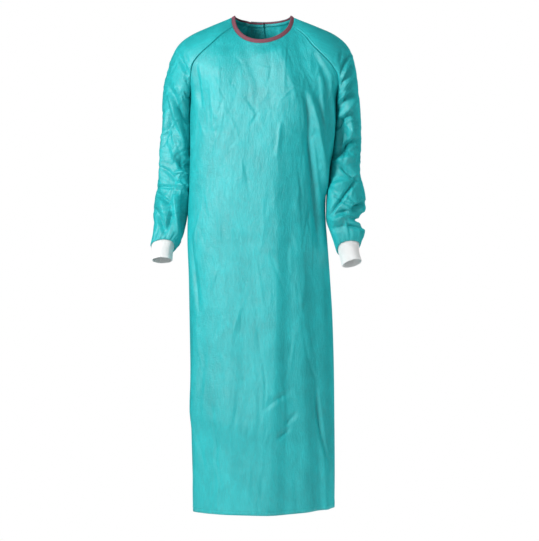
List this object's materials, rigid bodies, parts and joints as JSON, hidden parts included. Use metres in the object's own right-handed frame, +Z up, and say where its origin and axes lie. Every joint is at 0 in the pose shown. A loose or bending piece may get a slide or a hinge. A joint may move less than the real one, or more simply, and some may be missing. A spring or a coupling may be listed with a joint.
{
  "type": "surgical gown",
  "caption": "Long-sleeved surgical gown hanging as worn: plain front, raglan sleeves, bound round neck, knitted cuffs, and a lapped back closed at neck and waist.",
  "frame": {"origin": "midway between the neck's two shoulder points, where the gown hangs on the wearer", "axes": "+Z up, -Y to the wearer's front, +X to the wearer's left"},
  "size_m": [0.5566, 0.269, 1.2849],
  "materials": {
    "teal_nonwoven": "matt nonwoven with a faint sheen",
    "rose_binding": "matt folded tape",
    "white_knit": "ribbed knit",
    "white_tape": "hook-and-loop tape"
  },
  "bodies": {
    "root": {"front_panel": "teal_nonwoven", "back_panel_left": "teal_nonwoven", "back_panel_right": "teal_nonwoven", "sleeve_left": "teal_nonwoven", "sleeve_right": "teal_nonwoven", "cuff_left": "white_knit", "cuff_right": "white_knit", "neck_binding": "rose_binding", "neck_hook_tape": "white_tape", "waist_tie_left": "teal_nonwoven", "waist_tie_right": "teal_nonwoven", "waist_knot": "teal_nonwoven", "tie_end_left": "teal_nonwoven", "tie_end_right": "teal_nonwoven"}
  },
  "joints": []
}
